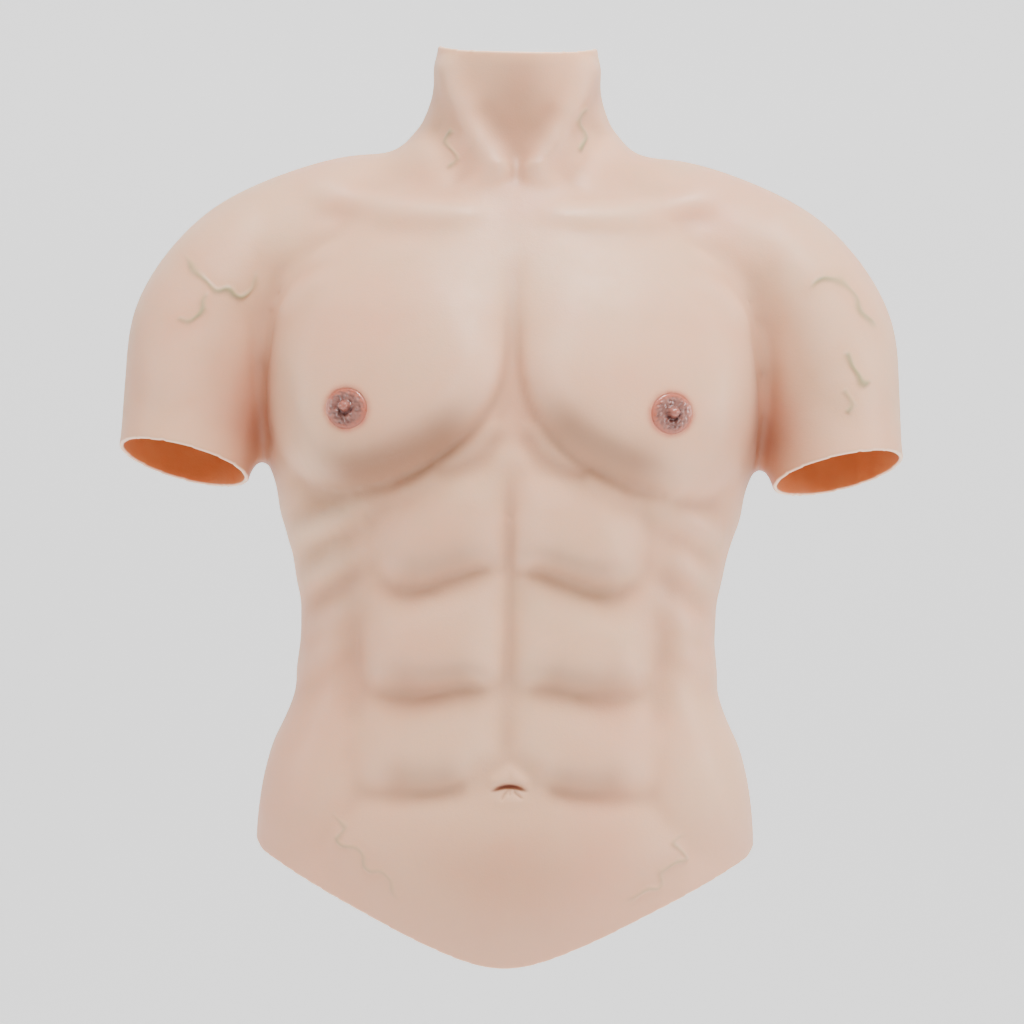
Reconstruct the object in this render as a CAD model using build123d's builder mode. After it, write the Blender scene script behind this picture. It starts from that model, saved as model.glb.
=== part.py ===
"""A wearable silicone muscle top: a hollow skin with a collar, two short sleeves and a pointed hem.

The skin is one casting, 3 mm thick, open at the collar, both cuffs and the hem, and slit down the
back for a zipper. Soft pads lie behind its chest, ribs, belly and flanks, held by a fabric backing,
and one more is bonded inside each shoulder. Each areola is a pigmented plug set into the chest.

Frame, in millimetres: +Z up, +X to the wearer's left, -Y to the front. The origin is the middle of
the neck at the height of the shoulders, where the wearer carries the top.
"""

from build123d import *
import os
from math import asin, cos, degrees, radians, sin, sqrt

# ---------------------------------------------------------------- driving dimensions
SKIN = 3.0  # wall of the cast silicone
GAP = 0.3  # between layers that lie on each other
BACKING = 1.0  # fabric behind the pads
SIDE_PAD_SHARE = 0.5  # a pad's depth at the flank, as a share of its depth at the front

# The back's middle line is one arc, so that the zipper slider runs on a circle.
ARC_RADIUS = 480.0
ARC_Y = -368.0
ARC_Z = -170.0

# Torso stations from below the hem to above the collar: height, half width, front, back, how
# square the section is (2 is an ellipse), and how deep the pads are there. A back of None is on
# the arc.
TORSO = [
    (-585.0, 176.0, -70.0, 100.0, 2.3, 1.0),
    (-540.0, 174.0, -84.0, 101.0, 2.3, 4.0),
    (-505.0, 171.0, -93.0, 100.0, 2.3, 9.0),
    (-465.0, 168.0, -97.0, 96.0, 2.3, 11.0),
    (-425.0, 162.0, -98.0, 86.0, 2.3, 11.0),
    (-390.0, 149.5, -98.5, 77.5, 2.3, 11.0),
    (-360.0, 141.0, -99.5, 75.5, 2.3, 11.0),
    (-330.0, 139.5, -101.0, None, 2.3, 11.0),
    (-290.0, 144.0, -105.0, None, 2.3, 11.0),
    (-250.0, 155.0, -112.0, None, 2.3, 12.0),
    (-205.0, 165.5, -119.0, None, 2.3, 15.0),
    (-160.0, 170.5, -115.0, None, 2.3, 15.0),
    (-120.0, 170.0, -104.0, None, 2.3, 12.0),
    (-85.0, 163.0, -89.0, None, 2.25, 6.0),
    (-55.0, 144.0, -73.0, None, 2.2, 2.0),
    (-30.0, 116.0, -60.0, None, 2.1, 1.0),
    (-10.0, 91.0, -52.0, None, 2.05, 1.0),
    (5.0, 74.0, -51.0, None, 2.0, 1.0),
    (20.0, 62.0, -54.0, None, 2.0, 1.0),
    (42.0, 56.5, -57.0, None, 2.0, 1.0),
    (70.0, 54.0, -58.0, None, 2.0, 1.0),
    (92.0, 53.0, -58.5, None, 2.0, 1.0),
]
SECTION_ANGLES = [-62, -38, -16, 0, 16, 38, 62]  # from the front round the flank to the back

# Arm stations from inside the chest to the cuff: the middle of the section, the direction that
# the arm runs in there (degrees below +X, degrees forward), half height, half depth, and how
# deep the shoulder pad is.
ARM = [
    ((40.0, 26.0, -46.0), 0.0, 0.0, 46.0, 62.0, 0.5),
    ((95.0, 25.0, -50.0), 6.0, 0.0, 48.0, 63.0, 1.0),
    ((140.0, 21.0, -65.0), 24.0, 2.0, 51.0, 64.0, 9.0),
    ((180.0, 14.0, -92.0), 49.0, 6.0, 54.5, 63.0, 11.0),
    ((203.5, 5.0, -128.0), 71.0, 10.0, 54.0, 60.0, 8.0),
    ((212.5, -3.0, -166.0), 79.0, 12.0, 50.5, 57.5, 1.0),
    ((221.0, -13.0, -216.0), 77.0, 13.0, 45.0, 55.0, 0.5),
]
CUFF_OVERRUN = 12.0  # the arm's cavity runs on past the cuff by this

# The hem, seen from the front: a blunt V whose corners turn up at the flanks, and flatter behind.
HEM_TOP = (192.0, -436.0)
HEM_CORNER = (160.0, -478.0)
HEM_CORNER_RADIUS = 8.0
HEM_TIP, HEM_TIP_RADIUS = -562.0, 106.0  # where the V's straight sides would meet
HEM_BACK, HEM_BACK_RADIUS = -494.0, 600.0
HEM_MARGIN = 14.0  # the backing stops short of the hem by this

# The collar's rim, seen from the side: front, flank and back heights.
RIM_FRONT, RIM_FLANK, RIM_BACK = 58.0, 67.5, 64.0

# Areolas
AREOLA_X, AREOLA_Z, AREOLA_RADIUS = 105.0, -179.0, 13.7
AREOLA_GAP = 0.15
NIPPLE_RADIUS, NIPPLE_HEIGHT = 4.6, 5.0

# Pads behind the left half of the front, as outlines seen from the front. The seams between them
# are the grooves between the muscles.
PAD_CORNER = 14.0
LEFT_PADS = {
    "pectoral_pad": [(7, -66), (86, -66), (134, -100), (146, -150), (138, -203), (94, -232), (7, -220)],
    "upper_ab_pad": [(7, -236), (84, -248), (88, -292), (7, -290)],
    "middle_ab_pad": [(7, -300), (88, -302), (84, -364), (7, -364)],
    "lower_ab_pad": [(7, -374), (84, -374), (84, -430), (7, -436)],
    "rib_pad": [(98, -250), (136, -232), (128, -318), (98, -322)],
    "oblique_pad": [(96, -332), (124, -330), (146, -424), (140, -458), (96, -436)],
}
BELLY_PAD = [(-84, -446), (84, -446), (78, -496), (0, -524), (-78, -496)]
BACKING_TOP, BACKING_HALF = -60.0, 150.0
SHOULDER_PAD = (142.0, 252.0, -172.0)  # from this X to this X, and down to this height

# Zipper: a 5 mm moulded chain, with tapes behind the skin's two edges.
SLIT_HALF = 6.8
TAPE_DEPTH = 3.4  # from the skin's outside to the tape's
TAPE = 0.6
TAPE_INNER, TAPE_OUTER = 3.0, 13.5
TAPE_TOP_Z, TAPE_BOTTOM_Z = 60.0, -320.0
TOOTH_PITCH, TOOTH_WIDTH, TOOTH_THICK = 3.2, 1.25, 2.4
TOOTH_REACH = 0.9  # past the middle, between the other side's teeth
CHAIN_TOP_Z, CHAIN_BOTTOM_Z = 47.0, -306.0
STOP_LENGTH = 5.0
SLIDER_Z = 45.0  # the slider's middle when the zipper is shut
SLIDER_LENGTH, SLIDER_HEAD, SLIDER_TAIL = 13.0, 10.6, 8.8
SLIDER_PLATE, SLIDER_CHANNEL = 1.3, 3.4
FLANGE, FLANGE_SLOT = 0.9, 1.8
POST_RADIUS = 1.1
CROWN_WIDTH, CROWN_WIRE, CROWN_LENGTH, TUNNEL = 2.6, 1.2, 8.4, 2.6
PIN_RADIUS = 0.85
PIN_DROP = 1.6  # from the crown's middle down to the pin
TAB_LENGTH, TAB_WIDTH, TAB_THICK = 34.0, 7.6, 1.4
TAB_WINDOW_WIDTH, TAB_WINDOW_LENGTH = 3.6, 6.4


# ---------------------------------------------------------------- the body's form
def arc_back(z, depth=0.0):
    """The back's middle line at height z, that deep under the outside."""
    return ARC_Y + sqrt((ARC_RADIUS - depth) ** 2 - (z - ARC_Z) ** 2)


def arc_angle(z, depth=0.0):
    """Where height z lies on the back's arc, in degrees above its widest point."""
    return degrees(asin((z - ARC_Z) / (ARC_RADIUS - depth)))


def arc_plane(angle, depth=0.0):
    """A plane on the back's arc. Its Z points out of the back, its Y runs up the arc."""
    out = (0, cos(radians(angle)), sin(radians(angle)))
    reach = ARC_RADIUS - depth
    centre = (0, ARC_Y + reach * out[1], ARC_Z + reach * out[2])
    return Plane(origin=centre, x_dir=(-1, 0, 0), z_dir=out)


def section_point(half_width, middle, half_depth, power, angle):
    """A point on a section that is squarer than an ellipse."""
    c, s = cos(radians(angle)), sin(radians(angle))
    y = half_depth * abs(s) ** (2 / power) * (1 if s > 0 else -1)
    return (half_width * c ** (2 / power), middle + y)


def torso_form(depth, padded=False):
    """The torso and neck as a solid, that deep under the outside, and under the pads if padded."""
    with BuildPart() as form:
        for z, width, front, back, power, pad in TORSO:
            under = pad if padded else 0.0
            rear = arc_back(z, depth) if back is None else back - depth
            face = front + depth + under
            middle, half_depth = (rear + face) / 2, (rear - face) / 2
            half_width = width - depth - SIDE_PAD_SHARE * under
            with BuildSketch(Plane.XY.offset(z)):
                with BuildLine():
                    flank = [
                        section_point(half_width, middle, half_depth, power, angle)
                        for angle in SECTION_ANGLES
                    ]
                    Spline((0, face), *flank, (0, rear), tangents=[(1, 0), (-1, 0)])
                    mirror(about=Plane.YZ)
                make_face()
        loft()
    return form.part


def arm_plane(centre, below, forward):
    """An arm's section plane. Its X runs front to back, its Y points out over the shoulder."""
    b, f = radians(below), radians(forward)
    along = (cos(b) * cos(f), -sin(f), -sin(b) * cos(f))
    return Plane(origin=centre, x_dir=(sin(f) * cos(b), cos(f), -sin(f) * sin(b)), z_dir=along)


def arm_form(depth, padded=False, overrun=0.0):
    """The left shoulder and sleeve as a solid, that deep under the outside."""
    with BuildPart() as form:
        for centre, below, forward, height, half_depth, pad in ARM:
            # Under the pad, the section's top is lower, its sides are nearer and its foot is clear.
            drop, narrow, foot = (pad, 0.3 * pad, 4.0) if padded else (0.0, 0.0, 0.0)
            with BuildSketch(arm_plane(centre, below, forward)):
                with Locations((0, -(drop + foot) / 2)):
                    Ellipse(half_depth - depth - narrow, height - depth - (drop - foot) / 2)
        if overrun:
            with BuildSketch(arm_plane(*ARM[-1][:3]).offset(overrun)):
                Ellipse(ARM[-1][4] - depth, ARM[-1][3] - depth)
        loft()
    return form.part


def prism(outline, radius, amount):
    """A rounded outline, seen from the front, run that far forward (or backward if negative)."""
    with BuildPart() as block:
        with BuildSketch(Plane.XZ):
            with BuildLine():
                FilletPolyline(*outline, radius=radius, close=True)
            make_face()
        extrude(amount=amount)
    return block.part


def above_rim():
    """Everything above the collar's rim, which dips at the front."""
    with BuildPart() as cut:
        with BuildSketch(Plane.YZ):
            with BuildLine():
                rim = Spline(
                    (-80, RIM_FRONT - 2),
                    (-58, RIM_FRONT),
                    (0, RIM_FLANK),
                    (58, RIM_BACK),
                    (90, RIM_BACK - 3),
                )
                Polyline(rim @ 1, (90, 130), (-80, 130), rim @ 0)
            make_face()
        extrude(amount=100, both=True)
    return cut.part


def below_hem():
    """Everything below the hem: a blunt V at the front, nearly level behind."""
    with BuildPart() as cut:
        for tip, tip_radius, amount in (
            (HEM_TIP, HEM_TIP_RADIUS, 160),
            (HEM_BACK, HEM_BACK_RADIUS, -160),
        ):
            with BuildSketch(Plane.XZ):
                with BuildLine():
                    edge = FilletPolyline(
                        (-HEM_TOP[0], HEM_TOP[1]),
                        (-HEM_CORNER[0], HEM_CORNER[1]),
                        (0, tip),
                        HEM_CORNER,
                        HEM_TOP,
                        radius=[HEM_CORNER_RADIUS, tip_radius, HEM_CORNER_RADIUS],
                    )
                    Polyline(edge @ 1, (HEM_TOP[0], -640), (-HEM_TOP[0], -640), edge @ 0)
                make_face()
            extrude(amount=amount)
    return cut.part


os.makedirs("parts", exist_ok=True)


def save(part, label):
    """Writes one node."""
    part.label = label
    export_step(part, f"parts/{label}.step")


# ---------------------------------------------------------------- the skin
left_arm, left_arm_hollow = arm_form(0), arm_form(SKIN, overrun=CUFF_OVERRUN)
body_form, body_hollow = torso_form(0), torso_form(SKIN)

with BuildPart() as areola_bores:
    with BuildSketch(Plane.XZ):
        with Locations((AREOLA_X, AREOLA_Z), (-AREOLA_X, AREOLA_Z)):
            Circle(AREOLA_RADIUS + AREOLA_GAP)
    extrude(amount=160)

with BuildPart() as back_slit:
    foot = CHAIN_BOTTOM_Z - STOP_LENGTH
    with BuildSketch(Plane.XZ):
        with Locations((0, (foot + 120) / 2)):
            Rectangle(2 * SLIT_HALF, 120 - foot)
        with Locations((0, foot)):
            Circle(SLIT_HALF)
    extrude(amount=-200)

with BuildPart() as torso_skin:
    add(body_form)
    add(left_arm)
    add(mirror(left_arm, about=Plane.YZ))
    add(body_hollow, mode=Mode.SUBTRACT)
    add(left_arm_hollow, mode=Mode.SUBTRACT)
    add(mirror(left_arm_hollow, about=Plane.YZ), mode=Mode.SUBTRACT)
    add(above_rim(), mode=Mode.SUBTRACT)
    add(below_hem(), mode=Mode.SUBTRACT)
    add(back_slit.part, mode=Mode.SUBTRACT)
    add(areola_bores.part, mode=Mode.SUBTRACT)
save(torso_skin.part, "torso_skin")

# ---------------------------------------------------------------- areolas
with BuildPart() as areola_left:
    with BuildSketch(Plane.XZ):
        with Locations((AREOLA_X, AREOLA_Z)):
            Circle(AREOLA_RADIUS)
    extrude(amount=160)
    add(body_form, mode=Mode.INTERSECT)
    add(body_hollow, mode=Mode.SUBTRACT)
    # The nipple stands on the plug's face, as a peg with a round tip that is sunk a little.
    face_y = areola_left.faces().sort_by(Axis.Y)[0].center().Y
    nipple_plane = Plane(origin=(AREOLA_X, face_y + 1.2, AREOLA_Z), x_dir=(1, 0, 0), z_dir=(0, -1, 0))
    with BuildSketch(nipple_plane):
        Circle(NIPPLE_RADIUS)
    tip = extrude(amount=NIPPLE_HEIGHT + 1.2)
    fillet(tip.edges().sort_by(Axis.Y)[0], 2.6)
save(areola_left.part, "areola_left")
save(mirror(areola_left.part, about=Plane.YZ), "areola_right")

# ---------------------------------------------------------------- pads and their backing
pad_face, pad_back = torso_form(SKIN + GAP), torso_form(SKIN + GAP, padded=True)


def front_pad(outline):
    """A pad between the skin and the backing, with this outline seen from the front."""
    with BuildPart() as pad:
        add(prism(outline, PAD_CORNER, 160))
        add(pad_face, mode=Mode.INTERSECT)
        add(pad_back, mode=Mode.SUBTRACT)
    return pad.part


for name, outline in LEFT_PADS.items():
    pad = front_pad(outline)
    save(pad, f"{name}_left")
    save(mirror(pad, about=Plane.YZ), f"{name}_right")
save(front_pad(BELLY_PAD), "belly_pad")

with BuildPart() as pad_backing:
    corner = HEM_CORNER[1] + HEM_MARGIN
    add(
        prism(
            [
                (-BACKING_HALF + 60, BACKING_TOP),
                (BACKING_HALF - 60, BACKING_TOP),
                (BACKING_HALF, BACKING_TOP - 45),
                (BACKING_HALF, corner),
                (0, HEM_TIP + HEM_MARGIN),
                (-BACKING_HALF, corner),
                (-BACKING_HALF, BACKING_TOP - 45),
            ],
            PAD_CORNER,
            160,
        )
    )
    add(torso_form(SKIN + 2 * GAP, padded=True), mode=Mode.INTERSECT)
    add(torso_form(SKIN + 2 * GAP + BACKING, padded=True), mode=Mode.SUBTRACT)
save(pad_backing.part, "pad_backing")

with BuildPart() as shoulder_pad:
    near, far, low = SHOULDER_PAD
    with BuildSketch(Plane.XZ):
        with Locations(((near + far) / 2, low / 2)):
            Rectangle(far - near, -low)
    extrude(amount=120, both=True)
    add(arm_form(SKIN + GAP), mode=Mode.INTERSECT)
    add(arm_form(SKIN + GAP, padded=True), mode=Mode.SUBTRACT)
save(shoulder_pad.part, "shoulder_pad_left")
save(mirror(shoulder_pad.part, about=Plane.YZ), "shoulder_pad_right")

# ---------------------------------------------------------------- zipper
chain_depth = TAPE_DEPTH + TAPE / 2  # the chain's middle, under the skin's outside


def arc_strip(x_from, x_to, depth_from, depth_to, z_from, z_to):
    """A strip that follows the back's arc between two heights."""
    with BuildPart() as strip:
        with BuildSketch(Plane.YZ.offset(x_from)):
            with BuildLine():
                low, high = arc_angle(z_from), arc_angle(z_to)
                outer = CenterArc((ARC_Y, ARC_Z), ARC_RADIUS - depth_from, low, high - low)
                inner = CenterArc((ARC_Y, ARC_Z), ARC_RADIUS - depth_to, low, high - low)
                Line(outer @ 0, inner @ 0)
                Line(outer @ 1, inner @ 1)
            make_face()
        extrude(amount=x_to - x_from)
    return strip.part


tape = arc_strip(TAPE_INNER, TAPE_OUTER, TAPE_DEPTH, TAPE_DEPTH + TAPE, TAPE_BOTTOM_Z, TAPE_TOP_Z)
save(tape, "zipper_tape_left")
save(mirror(tape, about=Plane.YZ), "zipper_tape_right")

pitch_angle = degrees(TOOTH_PITCH / (ARC_RADIUS - chain_depth))
tooth_count = int((arc_angle(CHAIN_TOP_Z) - arc_angle(CHAIN_BOTTOM_Z)) / pitch_angle)


def teeth(side, label):
    """One side's teeth. The right side's lie half a pitch higher, between the left side's."""
    first = arc_angle(CHAIN_BOTTOM_Z) + (0.25 if side > 0 else 0.75) * pitch_angle
    with BuildPart() as tooth:
        with BuildSketch():
            with BuildLine():
                reach, root, half = -TOOTH_REACH, TAPE_INNER, TOOTH_WIDTH / 2
                Polyline(
                    (reach, half),
                    (reach, -half),
                    (0.6, -half),
                    (1.2, -0.7 * half),
                    (root, -half),
                    (root, half),
                    (1.2, 0.7 * half),
                    (0.6, half),
                    close=True,
                )
            make_face()
        extrude(amount=TOOTH_THICK / 2, both=True)
    with BuildPart() as row:
        places = [arc_plane(first + n * pitch_angle, chain_depth).location for n in range(tooth_count)]
        # arc_plane's X points to -X, so the left side's teeth are turned about its Z.
        shape = tooth.part.rotate(Axis.Z, 180) if side > 0 else tooth.part
        with Locations(*places):
            add(shape)
    save(row.part, label)


teeth(1, "zipper_teeth_left")
teeth(-1, "zipper_teeth_right")

with BuildPart() as bottom_stop:
    stop_angle = arc_angle(CHAIN_BOTTOM_Z) - degrees((STOP_LENGTH / 2 + 0.2) / ARC_RADIUS)
    with BuildSketch(arc_plane(stop_angle, chain_depth + 1.1)):
        RectangleRounded(2 * TAPE_INNER - 0.2, STOP_LENGTH, 0.9)
    extrude(amount=2.2)
save(bottom_stop.part, "zipper_bottom_stop")

for side, label in ((-1, "zipper_top_stop_right"), (1, "zipper_top_stop_left")):
    with BuildPart() as top_stop:
        with BuildSketch(arc_plane(arc_angle(SLIDER_Z + 11), chain_depth + 1.0)):
            with Locations((-side * 2.0, 0)):
                RectangleRounded(1.8, 2.4, 0.5)
        extrude(amount=2.0)
    save(top_stop.part, label)

# The slider, shut, with its channel around the chain. Its plane's Y runs up the back.
slider_angle = arc_angle(SLIDER_Z)
inner_face = chain_depth + SLIDER_CHANNEL / 2
outer_face = chain_depth - SLIDER_CHANNEL / 2
crown_base = outer_face - SLIDER_PLATE
pin_depth = crown_base - TUNNEL / 2


with BuildSketch() as slider_plate:
    with BuildLine():
        half = SLIDER_LENGTH / 2
        FilletPolyline(
            (-SLIDER_TAIL / 2, -half),
            (SLIDER_TAIL / 2, -half),
            (SLIDER_HEAD / 2, half - 4),
            (SLIDER_HEAD / 2, half),
            (-SLIDER_HEAD / 2, half),
            (-SLIDER_HEAD / 2, half - 4),
            radius=1.2,
            close=True,
        )
    make_face()

with BuildSketch() as slider_flanges:
    add(slider_plate.sketch)
    offset(amount=-FLANGE, mode=Mode.SUBTRACT)
    with Locations((0, SLIDER_LENGTH / 2), (0, -SLIDER_LENGTH / 2)):
        Rectangle(SLIDER_TAIL - 2 * FLANGE, 6, mode=Mode.SUBTRACT)

with BuildPart() as zipper_slider:
    for depth in (inner_face + SLIDER_PLATE, outer_face):
        with BuildSketch(arc_plane(slider_angle, depth)):
            add(slider_plate.sketch)
        extrude(amount=SLIDER_PLATE)
    # Flanges along both sides leave a slot for the tapes.
    flange_height = (SLIDER_CHANNEL - FLANGE_SLOT) / 2
    for depth in (inner_face + 0.1, outer_face + flange_height):
        with BuildSketch(arc_plane(slider_angle, depth)):
            add(slider_flanges.sketch)
        extrude(amount=flange_height + 0.1)
    # The post that parts the chain joins the two plates at the head.
    with BuildSketch(arc_plane(slider_angle, inner_face + 0.1)):
        with Locations((0, SLIDER_LENGTH / 2 - 1.6)):
            Circle(POST_RADIUS)
    extrude(amount=SLIDER_CHANNEL + 0.2)
    # The crown is a bridge over the outer plate, with a tunnel for the tab's pin.
    crown_side = arc_plane(slider_angle, crown_base)
    side_plane = Plane(origin=crown_side.origin, x_dir=crown_side.y_dir, z_dir=(-1, 0, 0))
    rise = TUNNEL + CROWN_WIRE
    with BuildSketch(side_plane):
        with BuildLine():
            FilletPolyline(
                (-CROWN_LENGTH / 2, -0.2),
                (-CROWN_LENGTH / 2, rise),
                (CROWN_LENGTH / 2, rise),
                (CROWN_LENGTH / 2, -0.2),
                radius=1.6,
            )
            Line((CROWN_LENGTH / 2, -0.2), (-CROWN_LENGTH / 2, -0.2))
        make_face()
        with Locations((0, TUNNEL / 2)):
            RectangleRounded(CROWN_LENGTH - 2 * CROWN_WIRE, TUNNEL, 0.8, mode=Mode.SUBTRACT)
    extrude(amount=CROWN_WIDTH / 2, both=True)
save(zipper_slider.part, "zipper_slider")

# The pull tab hangs from its pin, which lies in the crown's tunnel at the tunnel's lower end.
pin_plane = arc_plane(slider_angle, pin_depth)
pin_centre = pin_plane.from_local_coords((0, -PIN_DROP, 0))
tab_plane = Plane(origin=pin_centre, x_dir=pin_plane.x_dir, z_dir=pin_plane.z_dir)
with BuildPart() as pull_tab:
    with BuildSketch(tab_plane.offset(-TAB_THICK / 2)):
        with Locations((0, -TAB_LENGTH / 2 + PIN_RADIUS)):
            RectangleRounded(TAB_WIDTH, TAB_LENGTH, 2.2)
        with Locations((0, -TAB_WINDOW_LENGTH / 2 - PIN_RADIUS + 0.2)):
            RectangleRounded(TAB_WINDOW_WIDTH, TAB_WINDOW_LENGTH, 0.8, mode=Mode.SUBTRACT)
    extrude(amount=TAB_THICK)
    with BuildSketch(tab_plane.offset(TAB_THICK / 2 - 0.4)):
        with Locations((0, -TAB_LENGTH * 0.62)):
            RectangleRounded(TAB_WIDTH - 2.4, TAB_LENGTH * 0.5, 1.4)
    extrude(amount=0.4, mode=Mode.SUBTRACT)
save(pull_tab.part, "zipper_pull_tab")
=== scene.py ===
"""The looks of a wearable silicone muscle top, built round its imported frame.

The tables are in millimetres in the row frame: +Z up, +X to the wearer's left, -Y to the front.
Muscles, veins and edges are placed by (u, v), where u is X and v is Z as seen from the camera.
"""

import contextlib
import math
import bmesh
import bpy
import numpy as np
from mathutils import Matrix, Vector
from mathutils.bvhtree import BVHTree


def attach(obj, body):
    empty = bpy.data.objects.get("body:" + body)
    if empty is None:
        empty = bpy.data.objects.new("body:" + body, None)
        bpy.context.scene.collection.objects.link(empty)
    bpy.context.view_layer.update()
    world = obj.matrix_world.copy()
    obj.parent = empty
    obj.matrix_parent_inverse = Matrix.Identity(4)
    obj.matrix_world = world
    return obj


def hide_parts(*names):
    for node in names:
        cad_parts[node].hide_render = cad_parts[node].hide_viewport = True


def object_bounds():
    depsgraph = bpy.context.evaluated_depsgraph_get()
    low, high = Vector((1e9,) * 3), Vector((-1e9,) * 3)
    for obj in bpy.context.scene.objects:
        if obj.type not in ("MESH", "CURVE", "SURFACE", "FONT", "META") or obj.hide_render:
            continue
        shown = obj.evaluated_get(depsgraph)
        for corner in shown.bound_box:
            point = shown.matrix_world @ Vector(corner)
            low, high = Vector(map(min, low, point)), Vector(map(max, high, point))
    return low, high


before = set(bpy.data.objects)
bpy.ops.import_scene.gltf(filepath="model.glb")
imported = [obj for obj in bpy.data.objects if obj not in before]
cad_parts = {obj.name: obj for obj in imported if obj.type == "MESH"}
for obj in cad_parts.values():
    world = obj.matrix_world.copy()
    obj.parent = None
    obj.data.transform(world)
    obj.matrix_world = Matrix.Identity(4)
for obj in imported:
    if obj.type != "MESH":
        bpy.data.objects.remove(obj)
cad_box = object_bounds()
MM = 0.001

# ---------------------------------------------------------------- the body's form
SKIN = 3.0  # wall of the cast silicone
ARC_RADIUS, ARC_Y, ARC_Z = 480.0, -368.0, -170.0  # the back's middle line
EYE = 2400.0  # from the camera to the body's middle
EYE_Z = -246.0

# Height, half width, front, how square the section is. The front leaves room for the muscles.
TORSO = [
    (-610, 178, -62, 2.3),
    (-585, 176, -70, 2.3),
    (-540, 173, -84, 2.3),
    (-505, 170.5, -91, 2.3),
    (-465, 167.5, -94, 2.3),
    (-425, 161, -95, 2.3),
    (-390, 149, -94.5, 2.3),
    (-360, 140, -95, 2.3),
    (-330, 138, -96.5, 2.3),
    (-290, 142, -99, 2.3),
    (-250, 153, -104, 2.3),
    (-205, 164.5, -108, 2.3),
    (-160, 170, -106, 2.3),
    (-120, 170, -99, 2.3),
    (-85, 163, -86, 2.25),
    (-55, 144, -71, 2.2),
    (-30, 116, -59, 2.1),
    (-10, 91, -51, 2.05),
    (5, 74, -50, 2.0),
    (20, 62, -52, 2.0),
    (42, 56, -55, 2.0),
    (70, 54, -57, 2.0),
    (95, 53, -57.5, 2.0),
]
LOW_BACK = [(-610, 98), (-540, 101), (-505, 100), (-465, 96), (-425, 86), (-390, 77.5), (-362, 75.8)]
LOW_BACK += [(-345, 79.3), (-330, 84.5)]

# Middle of the section, how far the arm runs below +X and forward there, half height, half depth.
ARM = [
    (40, 26, -46, 0, 0, 46, 62),
    (95, 25, -50, 6, 0, 48, 63),
    (140, 21, -65, 24, 2, 51, 64),
    (180, 14, -92, 49, 6, 54.5, 63),
    (203.5, 5, -128, 71, 10, 54, 60),
    (212.5, -3, -166, 79, 12, 50.5, 57.5),
    (221, -13, -216, 77, 13, 45, 55),
    (227, -19, -242, 77, 13, 44, 54),
]
CUFF = ARM[6]
ARM_REACH = 30.0  # no arm comes nearer than this to the middle
JOIN = 2.0, 26.0  # the arm runs into the torso where its distance is this near the torso's

RIM = [(-80, 56), (-58, 58), (0, 67.5), (58, 64), (90, 61)]  # the collar's height by Y
SLIT_HALF, SLIT_FOOT = 6.8, -311.0
HEM_TIP, HEM_SLOPE, HEM_ROUND = -562, 0.525, 17  # the front's V: its foot, slope and blunt tip
HEM_CORNER, HEM_FLANK, HEM_FLANK_SLOPE = 160, -478, 1.31  # where the V turns up at the flank
HEM_BACK, HEM_BACK_RISE = -490, 12


def curve(keys, at):
    """Smooth values between keys of (place, value, ...), with no overshoot."""
    keys = np.asarray(keys, float)
    x, y = keys[:, 0], keys[:, 1:]
    at = np.clip(np.asarray(at, float), x[0], x[-1])
    step = np.diff(x)[:, None]
    slope = np.diff(y, axis=0) / step
    turn = slope[:-1] * slope[1:]
    total = slope[:-1] + slope[1:]
    m = np.zeros_like(y)
    m[0], m[-1] = slope[0], slope[-1]
    m[1:-1] = np.where(turn > 0, 2 * turn / np.where(turn > 0, total, 1), 0)
    i = np.clip(np.searchsorted(x, at, side="right") - 1, 0, len(x) - 2)
    h = step[i]
    t = ((at - x[i])[:, None]) / h
    start = (2 * t**3 - 3 * t**2 + 1) * y[i] + (t**3 - 2 * t**2 + t) * h * m[i]
    end = (3 * t**2 - 2 * t**3) * y[i + 1] + (t**3 - t**2) * h * m[i + 1]
    return start + end


def ease(low, high, value):
    """0 below low, 1 above high, and smooth between. low may be the greater."""
    t = np.clip((np.asarray(value, float) - low) / (high - low), 0, 1)
    return t * t * (3 - 2 * t)


def arc_back(z, depth=0.0):
    """The back's middle line at height z, that deep under the outside."""
    return ARC_Y + np.sqrt((ARC_RADIUS - depth) ** 2 - (z - ARC_Z) ** 2)


def torso_rings():
    """The torso and neck as rings of points."""
    rings = []
    angles = np.linspace(0, 2 * np.pi, 144, endpoint=False)
    c, s = np.cos(angles), np.sin(angles)
    for z in np.arange(-605, 93, 4.0):
        half, front, power = curve(TORSO, [z])[0]
        back = arc_back(z) if z > -330 else curve(LOW_BACK, [z])[0][0]
        x = half * np.sign(c) * np.abs(c) ** (2 / power)
        y = (front + back) / 2 + (back - front) / 2 * np.sign(s) * np.abs(s) ** (2 / power)
        rings.append(np.stack([x, y, np.full_like(x, z)], 1))
    return rings


def arm_axes(below, forward):
    """An arm section's directions: along the arm, to the back, and out over the shoulder."""
    b, f = math.radians(below), math.radians(forward)
    along = np.array([math.cos(b) * math.cos(f), -math.sin(f), -math.sin(b) * math.cos(f)])
    back = np.array([math.sin(f) * math.cos(b), math.cos(f), -math.sin(f) * math.sin(b)])
    return along, back, np.cross(along, back)


def arm_rings(side):
    """One shoulder and sleeve as rings of points, running on past the cuff."""
    rings = []
    angles = np.linspace(0, 2 * np.pi, 96, endpoint=False)
    keys = [(n, *row) for n, row in enumerate(ARM)]
    for row in curve(keys, np.linspace(0, len(ARM) - 1, 64)):
        _, back, over = arm_axes(row[3], row[4])
        ring = row[:3] + np.outer(np.cos(angles) * row[6], back) + np.outer(np.sin(angles) * row[5], over)
        rings.append(ring * [side, 1, 1])
    return rings if side > 0 else [r[::-1] for r in rings]


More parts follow.
